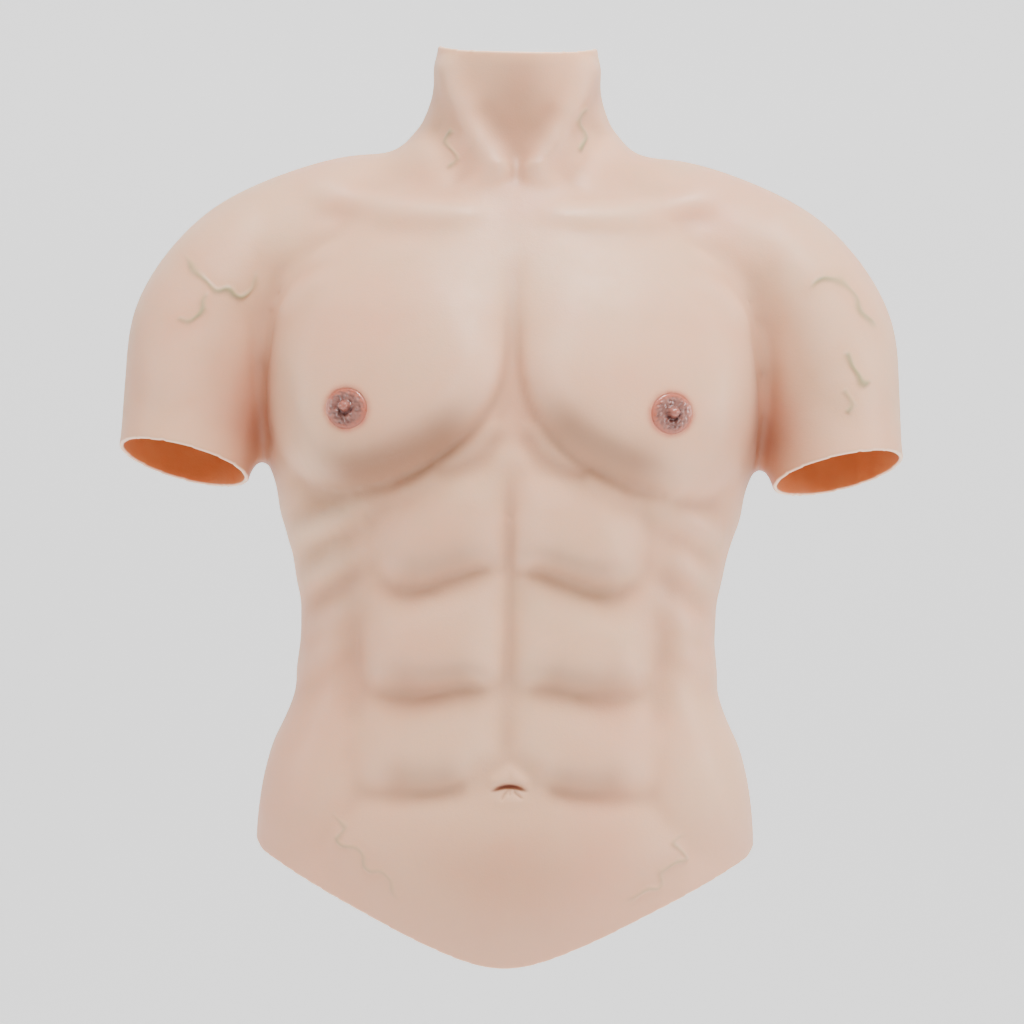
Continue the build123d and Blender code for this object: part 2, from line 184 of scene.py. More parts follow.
def closed_tube(rings):
    """Points and faces of rings joined into a closed tube with flat ends."""
    n = len(rings[0])
    faces = []
    for r in range(len(rings) - 1):
        for k in range(n):
            j = (k + 1) % n
            faces.append((r * n + k, r * n + j, (r + 1) * n + j, (r + 1) * n + k))
    last = (len(rings) - 1) * n
    faces.append(tuple(range(n - 1, -1, -1)))
    faces.append(tuple(range(last, last + n)))
    return np.concatenate(rings), faces


def new_mesh(name, points, faces):
    """A mesh from points in millimetres."""
    mesh = bpy.data.meshes.new(name)
    mesh.from_pydata((np.asarray(points) * MM).tolist(), [], [tuple(int(i) for i in f) for f in faces])
    mesh.update()
    return mesh


def new_object(name, mesh):
    """An object of that mesh, in the scene."""
    obj = bpy.data.objects.new(name, mesh)
    bpy.context.scene.collection.objects.link(obj)
    return obj


def applied(mesh, kind, **settings):
    """The mesh after one modifier."""
    obj = new_object("work", mesh)
    modifier = obj.modifiers.new("m", kind)
    for key, value in settings.items():
        setattr(modifier, key, value)
    graph = bpy.context.evaluated_depsgraph_get()
    result = bpy.data.meshes.new_from_object(obj.evaluated_get(graph))
    bpy.data.objects.remove(obj)
    return result


def points_of(mesh):
    """A mesh's points, in millimetres."""
    co = np.empty(len(mesh.vertices) * 3, np.float32)
    mesh.vertices.foreach_get("co", co)
    return co.reshape(-1, 3).astype(float) / MM


def move_points(mesh, points):
    """Puts a mesh's points in these places, in millimetres."""
    mesh.vertices.foreach_set("co", (points * MM).astype(np.float32).ravel())
    mesh.update()


@contextlib.contextmanager
def edited(mesh):
    """The mesh's bmesh, which is written back at the end."""
    bm = bmesh.new()
    bm.from_mesh(mesh)
    yield bm
    bm.to_mesh(mesh)
    bm.free()


def edges_of(mesh):
    """A mesh's edges as pairs of point numbers."""
    pairs = np.empty(len(mesh.edges) * 2, np.int32)
    mesh.edges.foreach_get("vertices", pairs)
    return pairs.reshape(-1, 2)


def faces_of(mesh):
    """A mesh's faces as lists of point numbers."""
    return [list(p.vertices) for p in mesh.polygons]


def normals_of(points, mesh):
    """Point normals of a mesh if its points were moved to these."""
    move_points(mesh, points)
    n = np.empty(len(points) * 3, np.float32)
    mesh.vertex_normals.foreach_get("vector", n)
    return n.reshape(-1, 3).astype(float)


def smoothed(points, pairs, rounds):
    """Points or values after each has moved halfway to its neighbours' mean, several times."""
    out = np.array(points, float)
    flat = out.ndim == 1
    if flat:
        out = out[:, None]
    count = np.maximum(np.bincount(pairs.ravel(), minlength=len(out)), 1)[:, None]
    for _ in range(rounds):
        mean = np.zeros_like(out)
        for column in range(out.shape[1]):
            a = np.bincount(pairs[:, 0], out[pairs[:, 1], column], len(out))
            b = np.bincount(pairs[:, 1], out[pairs[:, 0], column], len(out))
            mean[:, column] = a + b
        out += (mean / count - out) / 2
    return out[:, 0] if flat else out


def tree_of(points, faces):
    """A search tree over a mesh, in millimetres."""
    return BVHTree.FromPolygons([tuple(p) for p in points], faces)


def nearest(tree, points):
    """The nearest point of a tree to each point, and how far it is."""
    found = np.empty((len(points), 3))
    far = np.empty(len(points))
    for n, p in enumerate(points):
        hit = tree.find_nearest(p)
        found[n], far[n] = hit[0], hit[3]
    return found, far


torso_shape = closed_tube(torso_rings())
arm_shapes = [closed_tube(arm_rings(side)) for side in (1, -1)]
torso_tree = tree_of(*torso_shape)
arm_trees = [tree_of(*shape) for shape in arm_shapes]


def on_form(points):
    """The points moved onto the torso or an arm, except where the two run into each other."""
    at_torso, torso_far = nearest(torso_tree, points)
    at_arm, arm_far = at_torso.copy(), np.full(len(points), 1e3)
    for side, tree in zip((1, -1), arm_trees):
        mine = points[:, 0] * side > ARM_REACH
        at_arm[mine], arm_far[mine] = nearest(tree, points[mine])
    weight = ease(*JOIN, np.abs(torso_far - arm_far))[:, None]
    target = np.where((torso_far < arm_far)[:, None], at_torso, at_arm)
    return points + (target - points) * weight


def trim(bm, beyond):
    """Cuts a mesh where beyond(points) is 0 and drops the side where it is positive."""
    value = bm.verts.layers.float.new("beyond")
    points = np.array([v.co for v in bm.verts]) / MM
    for vert, far in zip(bm.verts, beyond(points)):
        vert[value] = far
    for edge in bm.edges:
        for a, b in (edge.verts, reversed(edge.verts)):
            if a[value] * b[value] < 0 and abs(a[value]) < 0.3 * abs(a[value] - b[value]):
                a.co = a.co.lerp(b.co, a[value] / (a[value] - b[value]))
                a[value] = 0
    for edge in list(bm.edges):
        a, b = edge.verts
        if a[value] * b[value] < 0:
            _, made = bmesh.utils.edge_split(edge, a, a[value] / (a[value] - b[value]))
            made[value] = 0
    bmesh.ops.connect_verts(bm, verts=[v for v in bm.verts if v[value] == 0])
    dropped = [f for f in bm.faces if max(v[value] for v in f.verts) > 0]
    bmesh.ops.delete(bm, geom=dropped, context="FACES")
    bm.verts.layers.float.remove(value)


def hem_height(points):
    """The hem's height round the body: a blunt V in front, nearly level behind."""
    x, y = np.abs(points[:, 0]), points[:, 1]
    flank = HEM_FLANK + HEM_FLANK_SLOPE * (x - HEM_CORNER)
    front = np.maximum(HEM_TIP + np.sqrt((HEM_SLOPE * x) ** 2 + HEM_ROUND**2), flank)
    back = np.maximum(HEM_BACK + HEM_BACK_RISE * (x / HEM_CORNER) ** 2, flank)
    return front + (back - front) * ease(-25, 45, y)


def past_collar(points):
    above = points[:, 2] - curve(RIM, points[:, 1])[:, 0]
    return np.where(points[:, 2] > 20, above, -1.0)


def past_hem(points):
    return np.where(points[:, 2] < -380, hem_height(points) - points[:, 2], -1.0)


def cuff_depth(points):
    """How far each point is past the cuffs' planes, along the arm."""
    along = arm_axes(CUFF[3], CUFF[4])[0]
    return (np.abs(points) * [1, 0, 0] + points * [0, 1, 1] - CUFF[:3]) @ along


def past_cuffs(points):
    near = (np.abs(points[:, 0]) > 171) & (points[:, 2] < -190)
    return np.where(near, cuff_depth(points), -1.0)


def in_slit(points):
    x, z = points[:, 0], points[:, 2]
    off = np.where(z > SLIT_FOOT, np.abs(x), np.hypot(x, z - SLIT_FOOT))
    return np.where(points[:, 1] > 0, SLIT_HALF - off, -1.0)


# ---------------------------------------------------------------- muscles
LINE_STEPS = 6  # between two points of an outline


def seen(points):
    """(u, v): where the camera sees each point, on the plane through the body's middle."""
    near = EYE / (EYE + points[:, 1])
    return np.stack([points[:, 0] * near, EYE_Z + (points[:, 2] - EYE_Z) * near], 1)


def along_line(uv, line):
    """How far each point is from a line, and how far along the line it is, from 0 to 1."""
    line = np.asarray(line, float)
    lengths = np.linalg.norm(np.diff(line, axis=0), axis=1)
    start = np.concatenate([[0], np.cumsum(lengths)])
    best = np.full(len(uv), 1e9)
    place = np.zeros(len(uv))
    for n in range(len(lengths)):
        a, b = line[n], line[n + 1]
        t = np.clip((uv - a) @ (b - a) / max(lengths[n] ** 2, 1e-9), 0, 1)
        off = np.linalg.norm(uv - (a + t[:, None] * (b - a)), axis=1)
        closer = off < best
        best[closer] = off[closer]
        place[closer] = (start[n] + t[closer] * lengths[n]) / start[-1]
    return best, place


def rounded(outline, closed=True):
    """A smooth line through an outline's points."""
    p = np.asarray(outline, float)
    out = []
    count = len(p) if closed else len(p) - 1
    for n in range(count):
        if closed:
            a, b, c, d = p[n - 1], p[n], p[(n + 1) % len(p)], p[(n + 2) % len(p)]
        else:
            a, b, c, d = p[max(n - 1, 0)], p[n], p[n + 1], p[min(n + 2, len(p) - 1)]
        for t in np.arange(LINE_STEPS) / LINE_STEPS:
            out.append(
                b + (c - a) * t / 2 + (2 * a - 5 * b + 4 * c - d) * t * t / 2
                + (3 * b - a - 3 * c + d) * t**3 / 2
            )
    out.append(out[0] if closed else p[-1])
    return np.array(out)


def pillow(uv, outline, height, edge):
    """A flat-topped bulge inside an outline, falling to nothing at it over the edge's width."""
    line = rounded(outline)
    lo, hi = line.min(0), line.max(0)
    near = np.all((uv > lo) & (uv < hi), axis=1)
    out = np.zeros(len(uv))
    if not near.any():
        return out
    mine = uv[near]
    off, _ = along_line(mine, line)
    inside = np.zeros(len(mine), bool)
    for a, b in zip(line[:-1], line[1:]):
        if a[1] != b[1]:
            spans = (a[1] > mine[:, 1]) != (b[1] > mine[:, 1])
            cross = a[0] + (mine[:, 1] - a[1]) * (b[0] - a[0]) / (b[1] - a[1])
            inside ^= spans & (mine[:, 0] < cross)
    width = np.broadcast_to(edge, len(uv))[near]
    rise = 1 - (1 - np.clip(off / width, 0, 1)) ** 2
    out[near] = np.where(inside, height * rise, 0)
    return out


def ridge(uv, line, height, width, fade=0.12):
    """A ridge (or groove, if height is negative) along a line, fading out at its ends."""
    off, place = along_line(uv, rounded(line, closed=False))
    ends = ease(0, fade, place) * ease(1, 1 - fade, place)
    return height * np.exp(-((off / width) ** 2)) * ends


def blob(uv, centre, size, height, turn=0.0):
    """A soft round bump. turn is in degrees."""
    c, s = math.cos(math.radians(turn)), math.sin(math.radians(turn))
    d = uv - np.asarray(centre, float)
    a = (d[:, 0] * c + d[:, 1] * s) / size[0]
    b = (d[:, 1] * c - d[:, 0] * s) / size[1]
    return height * np.exp(-(a * a + b * b))


PEC = [(1, -60), (20, -34), (80, -24), (140, -36), (170, -66), (178, -110), (174, -160), (162, -200)]
PEC += [(140, -226), (110, -233), (76, -224), (50, -209), (25, -190), (7, -164), (1, -120)]
PEC_FLAT = [(1, -60), (20, -34), (80, -24), (140, -36), (170, -66), (178, -110), (176, -165)]
PEC_FLAT += [(168, -208), (150, -236), (118, -238), (88, -229), (61, -218), (33, -201), (8, -168), (1, -120)]
UPPER_AB = [(1, -226), (26, -219), (60, -222), (86, -238), (94, -264), (88, -290), (66, -299)]
UPPER_AB += [(40, -292), (20, -285), (1, -281)]
MIDDLE_AB = [(1, -283), (20, -287), (40, -294), (66, -302), (94, -300), (102, -335), (96, -366)]
MIDDLE_AB += [(64, -371), (32, -366), (1, -359)]
LOWER_AB = [(1, -361), (32, -368), (64, -374), (96, -370), (106, -400), (98, -434), (64, -438)]
LOWER_AB += [(30, -432), (14, -422), (2, -410)]
BELLY = [(-96, -444), (-50, -440), (-20, -442), (20, -442), (50, -440), (96, -444), (124, -480)]
BELLY += [(74, -536), (0, -566), (-74, -536), (-124, -480)]
OBLIQUE = [(100, -352), (132, -358), (162, -392), (176, -430), (168, -476), (130, -474), (102, -436)]
DELTOID = [(172, -40), (205, -46), (245, -76), (268, -118), (262, -160), (236, -182), (208, -164)]
DELTOID += [(188, -122), (176, -84)]
RIBS = [((126, -254), -30), ((120, -284), -34), ((116, -318), -40), ((124, -346), -48)]


def ab_block(uv, outline, height, top, foot):
    """A block of the belly: steep at its foot and inner side, and soft at its top and outer side."""
    edge = 20 + 18 * ease(45, 92, uv[:, 0]) + 14 * ease((top + foot) / 2, top, uv[:, 1])
    return pillow(uv, outline, height, edge) * (0.50 + 0.50 * ease(top, foot, uv[:, 1]))


# Ridges, and grooves where the height is below 0: line, height, width, and how much of each end
# fades where that isn't ridge's own share.
FRONT_LINES = [
    # The feet of the belly's blocks, and the groove beside them.
    ([(44, -300), (72, -303), (92, -296)], -1.2, 4),
    ([(40, -370), (66, -375), (96, -371)], -1.0, 4),
    ([(24, -432), (50, -440), (88, -441), (110, -436)], -1.5, 4),
    ([(107, -250), (108, -300), (106, -350), (104, -400)], -1.8, 9),
    # Collarbones, the hollows round them, and the neck's two cords.
    ([(9, -40), (46, -44), (88, -41), (150, -25)], 4.2, 8, 0.2),
    ([(30, -56), (70, -58), (112, -54)], -1.0, 9, 0.3),
    ([(50, 66), (40, 34), (23, 4), (7, -22)], 6.4, 9, 0.1),
    ([(14, 4), (5, -20)], 2.6, 4, 0.3),
    ([(28, 30), (16, 10), (5, -10)], -3.0, 8),
    ([(58, 20), (48, -4), (34, -24)], -3.0, 8),
    # Where the arm meets the chest.
    ([(160, -60), (169, -98), (170, -140), (166, -190)], -2.6, 14, 0.3),
    # Bands of muscle that fan out from the breastbone under the chest.
    ([(8, -178), (30, -205), (64, -229), (112, -243)], 3.0, 6),
    ([(6, -192), (20, -212), (54, -223)], -2.8, 5),
    ([(4, -200), (10, -222)], 1.8, 4, 0.3),
    ([(110, -236), (128, -240), (150, -222)], -1.6, 6),
    # Light folds that run over the chest to the arm.
    ([(112, -52), (140, -60), (164, -84)], 1.6, 6, 0.3),
    ([(112, -69), (140, -80), (164, -106)], 1.6, 6, 0.3),
    ([(112, -86), (140, -100), (164, -128)], 1.6, 6, 0.3),
]
BACK_LINES = [
    ([(38, -60), (44, -160), (42, -280), (34, -400), (26, -470)], 5.0, 19),
    ([(128, -66), (96, -86), (56, -98)], 2.2, 12),
    ([(62, -66), (64, -120), (84, -168), (120, -178)], -2.4, 10),
    ([(86, -330), (70, -390), (74, -440)], -2.0, 16),
    ([(164, -52), (158, -110), (166, -176)], -4.0, 12),
]
# Round muscles of the back: middle, size, height, turn.
BACK_BLOBS = [
    ((86, -92), (38, 34), 4.2, 18),
    ((92, -134), (30, 22), 2.8, -24),
    ((116, -232), (34, 70), 4.4, -10),
    ((50, 2), (34, 34), 3.0, 30),
    ((92, -462), (44, 36), 4.4, 0),
    ((196, -80), (26, 40), 3.4, 0),
]


def front_relief(uv, side):
    """The muscles of one side of the front. uv's u is positive on that side, and side is -1 on the
    wearer's right, whose muscles are not quite the left's mirror image."""
    u, v = uv[:, 0], uv[:, 1]
    left = side > 0
    edge = 25 + 50 * ease(-160, -60, v) + 40 * ease(105, 160, u)
    depth = 0.05 + 0.95 * ease(-34, -190, v)
    out = pillow(uv, PEC_FLAT if left else PEC, 17.0 if left else 20.0, edge) * depth
    if left:
        out *= 1 - 0.38 * ease(70, 135, u) * ease(-165, -225, v)
    out += ab_block(uv, UPPER_AB, 12.5 if left else 9.0, -222, -292)
    out += ab_block(uv, MIDDLE_AB, 9.8 if left else 11.0, -292, -370)
    out += ab_block(uv, LOWER_AB, 8.0, -372, -438)
    out += pillow(uv, OBLIQUE, 6.0, 46) + pillow(uv, DELTOID, 4.2, 38)
    for centre, turn in RIBS:
        out += blob(uv, centre, (25, 10), 5.2 if left else 7.6, turn)
    out += blob(uv, (62, -22), (34, 12), -4.0, 8)
    for row in FRONT_LINES:
        out += ridge(uv, *row)
    return out


def middle_relief(uv):
    """What lies on the middle line: the throat, its notch, the breastbone and the lower belly."""
    out = blob(uv, (2, -13), (6, 10), -5.0) + blob(uv, (0, 22), (18, 38), -2.6)
    out += pillow(uv, BELLY, 6.0, 46)
    out += ridge(uv, [(0, -60), (0, -110), (1, -165)], -1.2, 6, 0.3)
    out += ridge(uv, [(0, -206), (0, -240), (0, -290), (1, -350)], -0.7, 3.0, 0.3)
    return out


def back_relief(uv):
    """The muscles of one side of the back, seen from behind. The zipper's line stays flat."""
    out = sum(ridge(uv, *row) for row in BACK_LINES) + sum(blob(uv, *row) for row in BACK_BLOBS)
    return out * ease(9, 30, uv[:, 0])


def crisp_lines(uv):
    """1 along the edges that stay sharp: under the chest, at the feet of the belly's blocks."""
    out = ridge(uv, [(0, -220), (0, -260), (0, -300), (1, -350)], 0.7, 7, 0.2)
    for side in (1, -1):
        mine = uv * [side, 1]
        chest = [(3, -110), (4, -150), (10, -170), (26, -192), (50, -211), (76, -226), (108, -233)]
        if side > 0:
            chest = [(3, -110), (4, -150), (10, -172), (33, -201), (61, -218), (88, -229)]
        for line, most in (
            (chest, 1.0),
            ([(10, -281), (30, -287), (52, -296), (72, -298)], 0.9),
            ([(10, -360), (32, -367), (62, -372)], 0.8),
            ([(20, -428), (40, -434), (72, -438)], 0.7),
        ):
            out = np.maximum(out, ridge(mine, line, most, 12, 0.25))
    return out


FLANK_WAVES = [(-214, 1.6), (-250, 2.0), (-286, 1.8), (-322, 1.5), (-350, 1.2), (-408, 1.4)]
WAVE_WIDTH, WAVE_SLOPE = 11.0, 0.25


def flank_relief(points, normals):
    """The ribs' waves down the flanks, which show in the outline."""
    out = np.zeros(len(points))
    level = points[:, 2] + WAVE_SLOPE * points[:, 1]
    for z, height in FLANK_WAVES:
        out += height * np.exp(-(((level - z) / WAVE_WIDTH) ** 2))
    torso = ease(-196, -206, points[:, 2]) * (np.abs(points[:, 0]) < 176)
    return out * torso * ease(0.7, 0.3, np.abs(normals[:, 1])) * ease(60, 20, points[:, 1])


def macro_relief(points, normals):
    """How far the muscles stand out of the form at each point."""
    uv = seen(points)
    out = np.zeros(len(points))
    front = ease(0.12, -0.22, normals[:, 1])
    for side in (1, -1):
        mine = uv * [side, 1]
        half = np.where(mine[:, 0] > 0, 1.0, 0.0)
        out += front_relief(mine, side) * front * half
        out += back_relief(points[:, [0, 2]] * [side, 1]) * (1 - front) * half
    return out + middle_relief(uv) * front + flank_relief(points, normals)


# ---------------------------------------------------------------- fine relief
VEINS = {
    "arm_right": [(-226, -74), (-216, -86), (-206, -97), (-196, -99), (-188, -103), (-180, -99), (-172, -86)],
    "arm_right_branch": [(-208, -100), (-211, -112), (-219, -119), (-231, -120)],
    "arm_left": [(200, -92), (210, -86), (219, -84), (228, -92), (236, -104), (246, -121)],
    "arm_left_branch": [(224, -134), (231, -142), (236, -153), (244, -157)],
    "arm_left_low": [(226, -160), (230, -168), (228, -178)],
    "belly_right": [(-118, -452), (-110, -462), (-112, -472), (-98, -480), (-92, -490), (-80, -496)]
    + [(-70, -513)],
    "neck_right": [(-44, 14), (-47, 4), (-41, -6), (-46, -16)],
    "neck_left": [(47, 30), (43, 16), (47, 6), (42, -4)],
    "belly_left": [(124, -462), (116, -470), (122, -480), (108, -488), (104, -500), (92, -504), (82, -514)],
}
NAVEL = (2.5, -433.5)
NAVEL_SLIT = [(-14, -4.4), (-7, -0.8), (0, 0.6), (7, -0.5), (14, -4.0)]
AREOLA_R = 13.2
AREOLA_DISH = 1.0
NIPPLE_FOOT, NIPPLE_TOP, NIPPLE_HEIGHT = 4.6, 1.9, 4.2  # two radii and how far it stands out
WRINKLE = 0.34
AREOLAS = {"left": (108.6, -178.0), "right": (-112.4, -178.0)}


def vein_mask(uv):
    """1 on the raised veins, 0 away from them."""
    out = np.zeros(len(uv))
    for name, line in VEINS.items():
        lo, hi = np.min(line, 0) - 12, np.max(line, 0) + 12
        near = np.all((uv > lo) & (uv < hi), axis=1)
        if near.any():
            wave = uv[near] + 1.3 * np.sin(uv[near][:, ::-1] / 2.9 + [0.4, 2.0])
            thin = 2.0 if name.startswith("arm") else 1.7
            along = 0.75 + 0.25 * np.sin(uv[near].sum(1) / 6.0)
            out[near] = np.maximum(out[near], ridge(wave, line, 1.0, thin, 0.15) * along)
    return out


def navel_relief(uv):
    """The navel: a peaked hood over a curved slit, with two creases that run down from it."""
    d = uv - NAVEL
    out = ridge(d, [(-16, -3), (-8, 4), (0, 11), (8, 4), (16, -3)], 1.5, 4.6, 0.25)
    out += blob(d, (0, 5), (9, 5), 1.7)
    out += blob(d, (0, -9), (13, 5), 1.0)
    out += ridge(d, NAVEL_SLIT, -3.0, 1.5, 0.3)
    out += blob(d, (0, 0.2), (5, 1.6), -1.8)
    out += ridge(d, [(0, -1), (-3, -5), (-6, -11)], -1.2, 1.1, 0.3)
    out += ridge(d, [(2, -1), (5, -5), (10, -9)], -1.2, 1.1, 0.3)
    out += ridge(d, [(0.5, -1), (0.5, -4), (0, -7)], -0.7, 0.9, 0.3)
    return out


def fine_relief(points, normals):
    """Veins, the navel and the dishes that the areolas are set in."""
    uv = seen(points)
    front = ease(0.1, -0.1, normals[:, 1])
    out = 1.3 * vein_mask(uv) + navel_relief(uv)
    for centre in AREOLAS.values():
        r = np.linalg.norm(uv - centre, axis=1)
        out -= AREOLA_DISH * ease(AREOLA_R + 1.2, AREOLA_R, r)
    return out * front


# ---------------------------------------------------------------- the skin
SKIN_CELL, PAD_CELL = 5.2, 3.4
LIP_TURNS = (40, 75, 105, 140)  # degrees round an opening's rounded edge
SUNK_FULL = 1.1  # a crease this deep gets the full painted shade
HALO_GAP, HALO_WIDTH = 0.6, 2.6
PIT, PIT_SIZE = (176, 0, -190), (30, 75, 52)


def base_form():
    """The torso and arms as one coarse skin, blended, with its openings cut."""
    parts = [torso_shape, *arm_shapes]
    points = np.concatenate([p for p, _ in parts])
    faces, start = [], 0
    for p, f in parts:
        faces += [tuple(i + start for i in face) for face in f]
        start += len(p)
    mesh = applied(new_mesh("form", points, faces), "REMESH", mode="VOXEL", voxel_size=SKIN_CELL * MM)
    move_points(mesh, on_form(smoothed(points_of(mesh), edges_of(mesh), 14)))
    with edited(mesh) as bm:
        for beyond in (past_collar, past_hem, past_cuffs, in_slit):
            trim(bm, beyond)
        loose = [v for v in bm.verts if not v.link_faces]
        bmesh.ops.delete(bm, geom=loose, context="VERTS")
    return mesh


def refined(mesh):
    """The mesh with smaller faces round the veins, the navel and the areolas."""
    for reach in (7.0, 3.6):
        with edited(mesh) as bm:
            middles = np.array([f.calc_center_median() for f in bm.faces]) / MM
            facing = np.array([f.normal.y for f in bm.faces]) < 0.05
            uv = seen(middles)
            wanted = np.linalg.norm(uv - NAVEL, axis=1) < 4.0 * reach
            for centre in AREOLAS.values():
                ring = np.abs(np.linalg.norm(uv - centre, axis=1) - AREOLA_R - 0.5)
                wanted |= ring < reach
            for line in VEINS.values():
                lo, hi = np.min(line, 0) - reach, np.max(line, 0) + reach
                near = np.all((uv > lo) & (uv < hi), axis=1)
                if near.any():
                    wanted[near] |= along_line(uv[near], line)[0] < reach
            picked = {e for f, w in zip(bm.faces, wanted & facing) if w for e in f.edges if not e.is_boundary}
            edges = sorted(picked, key=lambda e: e.index)
            bmesh.ops.subdivide_edges(bm, edges=edges, cuts=1, use_grid_fill=True)
    return mesh


def boundary_loops(mesh):
    """The rings of points round a mesh's openings, in order."""
    follow = {}
    with edited(mesh) as bm:
        for loop in [e.link_loops[0] for e in bm.edges if e.is_boundary]:
            follow[loop.vert.index] = loop.link_loop_next.vert.index
    loops = []
    while follow:
        at = min(follow)
        ring = []
        while at in follow:
            ring.append(at)
            at = follow.pop(at)
        loops.append(ring)
    return loops


def edge_facing(ring, normals, middles):
    """Which way an opening's edge faces at each point of its ring: along the skin, away from the
    middles of the faces there."""
    run = np.roll(ring, -1, 0) - np.roll(ring, 1, 0)
    run /= np.linalg.norm(run, axis=1)[:, None]
    away = np.cross(run, normals)
    away /= np.linalg.norm(away, axis=1)[:, None]
    if np.mean(np.sum((middles - ring) * away, 1)) > 0:
        away = -away
    for _ in range(3):
        away = (np.roll(away, 1, 0) + np.roll(away, -1, 0) + 2 * away) / 4
    return away / np.linalg.norm(away, axis=1)[:, None]


def sculpted(coarse):
    """The outside with all its relief, made from the coarse skin: its mesh, its points and where its
    veins are. The last is where the coarse skin's points lie under the muscles, but not the detail."""
    fine = applied(coarse, "SUBSURF", levels=1, render_levels=1)
    points = smoothed(on_form(points_of(fine)), edges_of(fine), 1)
    normals = normals_of(points, fine)
    macro = smoothed(macro_relief(points, normals), edges_of(fine), 2)
    crisp = crisp_lines(seen(points)) * (normals[:, 1] < 0)
    macro += (smoothed(macro, edges_of(fine), 9) - macro) * (1 - crisp)
    boss = blob(seen(points), NAVEL, (22, 16), 4.0) * (normals[:, 1] < 0)
    under = points + normals * (smoothed(macro, edges_of(fine), 6) - boss)[:, None]
    move_points(fine, points + normals * macro[:, None])
    fine = refined(fine)
    muscled = points_of(fine)
    normals = normals_of(muscled, fine)
    outer = muscled + normals * fine_relief(muscled, normals)[:, None]
    vein = vein_mask(seen(muscled)) * (normals[:, 1] < 0.1)
    return fine, outer, vein, under[: len(coarse.vertices)]


def lip_faces(rows, shared, inner_ring):
    """Faces of a rounded edge: bands from row to row, then triangles from the last row to the
    inside's ring, whose points lie at the shared places of the row."""
    faces = []
    count = len(rows[0])
    for low, high in zip(rows[:-1], rows[1:]):
        for k in range(count):
            j = (k + 1) % count
            faces.append([low[j], low[k], high[k], high[j]])
    for n, k in enumerate(shared):
        here, after = inner_ring[n], inner_ring[(n + 1) % len(inner_ring)]
        a, b, c = [rows[-1][(k + step) % count] for step in range(3)]
        faces += [[b, a, here], [b, here, after], [c, b, after]]
    return faces


def build_skin():
    """The whole casting: outside with its relief, rounded edges, and the inside."""
    coarse = base_form()
    first = len(coarse.vertices)
    fine, outer, vein, under = sculpted(coarse)
    outer_normals = normals_of(outer, fine)
    sunk = np.sum((smoothed(outer, edges_of(fine), 40) - outer) * outer_normals, 1)

    # The inside is the coarse mesh again, a wall's thickness in.
    inner = under - normals_of(under, coarse) * SKIN
    coarse_faces, fine_faces = faces_of(coarse), faces_of(fine)
    outside = len(outer)
    faces = fine_faces + [[outside + i for i in reversed(f)] for f in coarse_faces]
    all_points = [outer, inner]
    total = outside + first
    faces_at = {}
    for face in fine_faces:
        for i in face:
            faces_at.setdefault(i, []).append(face)
    for ring in boundary_loops(fine):
        start = next(k for k, i in enumerate(ring) if i < first)
        ring = ring[start:] + ring[:start]
        p, n = outer[ring], outer_normals[ring]
        middles = np.array([np.mean([outer[j] for f in faces_at[i] for j in f], 0) for i in ring])
        away = edge_facing(p, n, middles)
        rows = [ring]
        for angle in LIP_TURNS:
            a = math.radians(angle)
            all_points.append(p + (SKIN / 2) * ((math.cos(a) - 1) * n + math.sin(a) * away))
            rows.append(list(range(total, total + len(ring))))
            total += len(ring)
        shared = [k for k, i in enumerate(ring) if i < first]
        for k in shared:
            inner[ring[k]] = p[k] - n[k] * SKIN
        faces += lip_faces(rows, shared, [outside + ring[k] for k in shared])
    mesh = new_mesh("skin", np.concatenate(all_points), faces)
    mesh.validate()
    facts = {
        "outside": outside,
        "inside_end": outside + first,
        "sunk": sunk,
        "vein": vein,
        "faces": fine_faces,
        "inner": (inner, coarse_faces),
    }
    return new_object("skin", mesh), facts


def set_values(mesh, **named):
    """Named numbers at each point of a mesh, for its material."""
    for name, values in named.items():
        attribute = mesh.attributes.new(name, "FLOAT", "POINT")
        attribute.data.foreach_set("value", np.asarray(values, np.float32))


def paint_skin(mesh, facts):
    """Where the skin is pigmented and where shade and light are painted: painted shade in the creases, under
    the muscles, in the armpits (with a pigment flush) and in the navel's slit, a painted highlight on the
    crests, veins, areola rims, the hem and the inside.
    """
    points = points_of(mesh)
    outside, inside_end = facts["outside"], facts["inside_end"]
    uv = seen(points)
    x, z = np.abs(points[:, 0]), points[:, 2]
    front = points[:, 1] < 0
    number = np.arange(len(points))
    paint = {"inside": (number >= outside) & (number < inside_end), "edge": number >= inside_end}
    # Painted shade in the creases and a painted highlight on the crests, by how far each point lies below or
    # above its neighbours.
    sunk = facts["sunk"] / SUNK_FULL
    for name, values in (("crease_shade", sunk), ("crest_highlight", -sunk), ("vein", facts["vein"])):
        paint[name] = np.concatenate([np.clip(values, 0, 1), np.zeros(len(points) - outside)])
    halo, pit = np.zeros(len(points)), np.zeros(len(points))
    for centre in AREOLAS.values():
        past = np.clip(np.linalg.norm(uv - centre, axis=1) - AREOLA_R - HALO_GAP, 0, None)
        halo = np.maximum(halo, np.exp(-((past / HALO_WIDTH) ** 2)) * front)
    # The armpits: a reddish flush of pigment with painted shade in the hollow.
    for side in (1, -1):
        off = (points - [side * PIT[0], *PIT[1:]]) / PIT_SIZE
        pit = np.maximum(pit, np.exp(-np.sum(off**2, 1)))
    paint["halo"] = halo
    paint["pit"] = pit
    # Painted shade on the lower part of the chest and belly muscles and in the throat.
    paint["shade"] = hollow_shade(uv) * front
    # Painted shade in the navel's slit.
    paint["slit"] = ridge(uv - NAVEL, NAVEL_SLIT, 1.0, 1.7, 0.35) * front
    paint["hem"] = ease(70, 0, z - hem_height(points)) * (x < 182) * (z < -330)
    paint["collar"] = ease(9, 0, curve(RIM, points[:, 1])[:, 0] - z) * (z > 20)
    paint["cuff"] = ease(26, 0, -cuff_depth(points)) * (x > 168) * (z < -120)
    set_values(mesh, **paint)


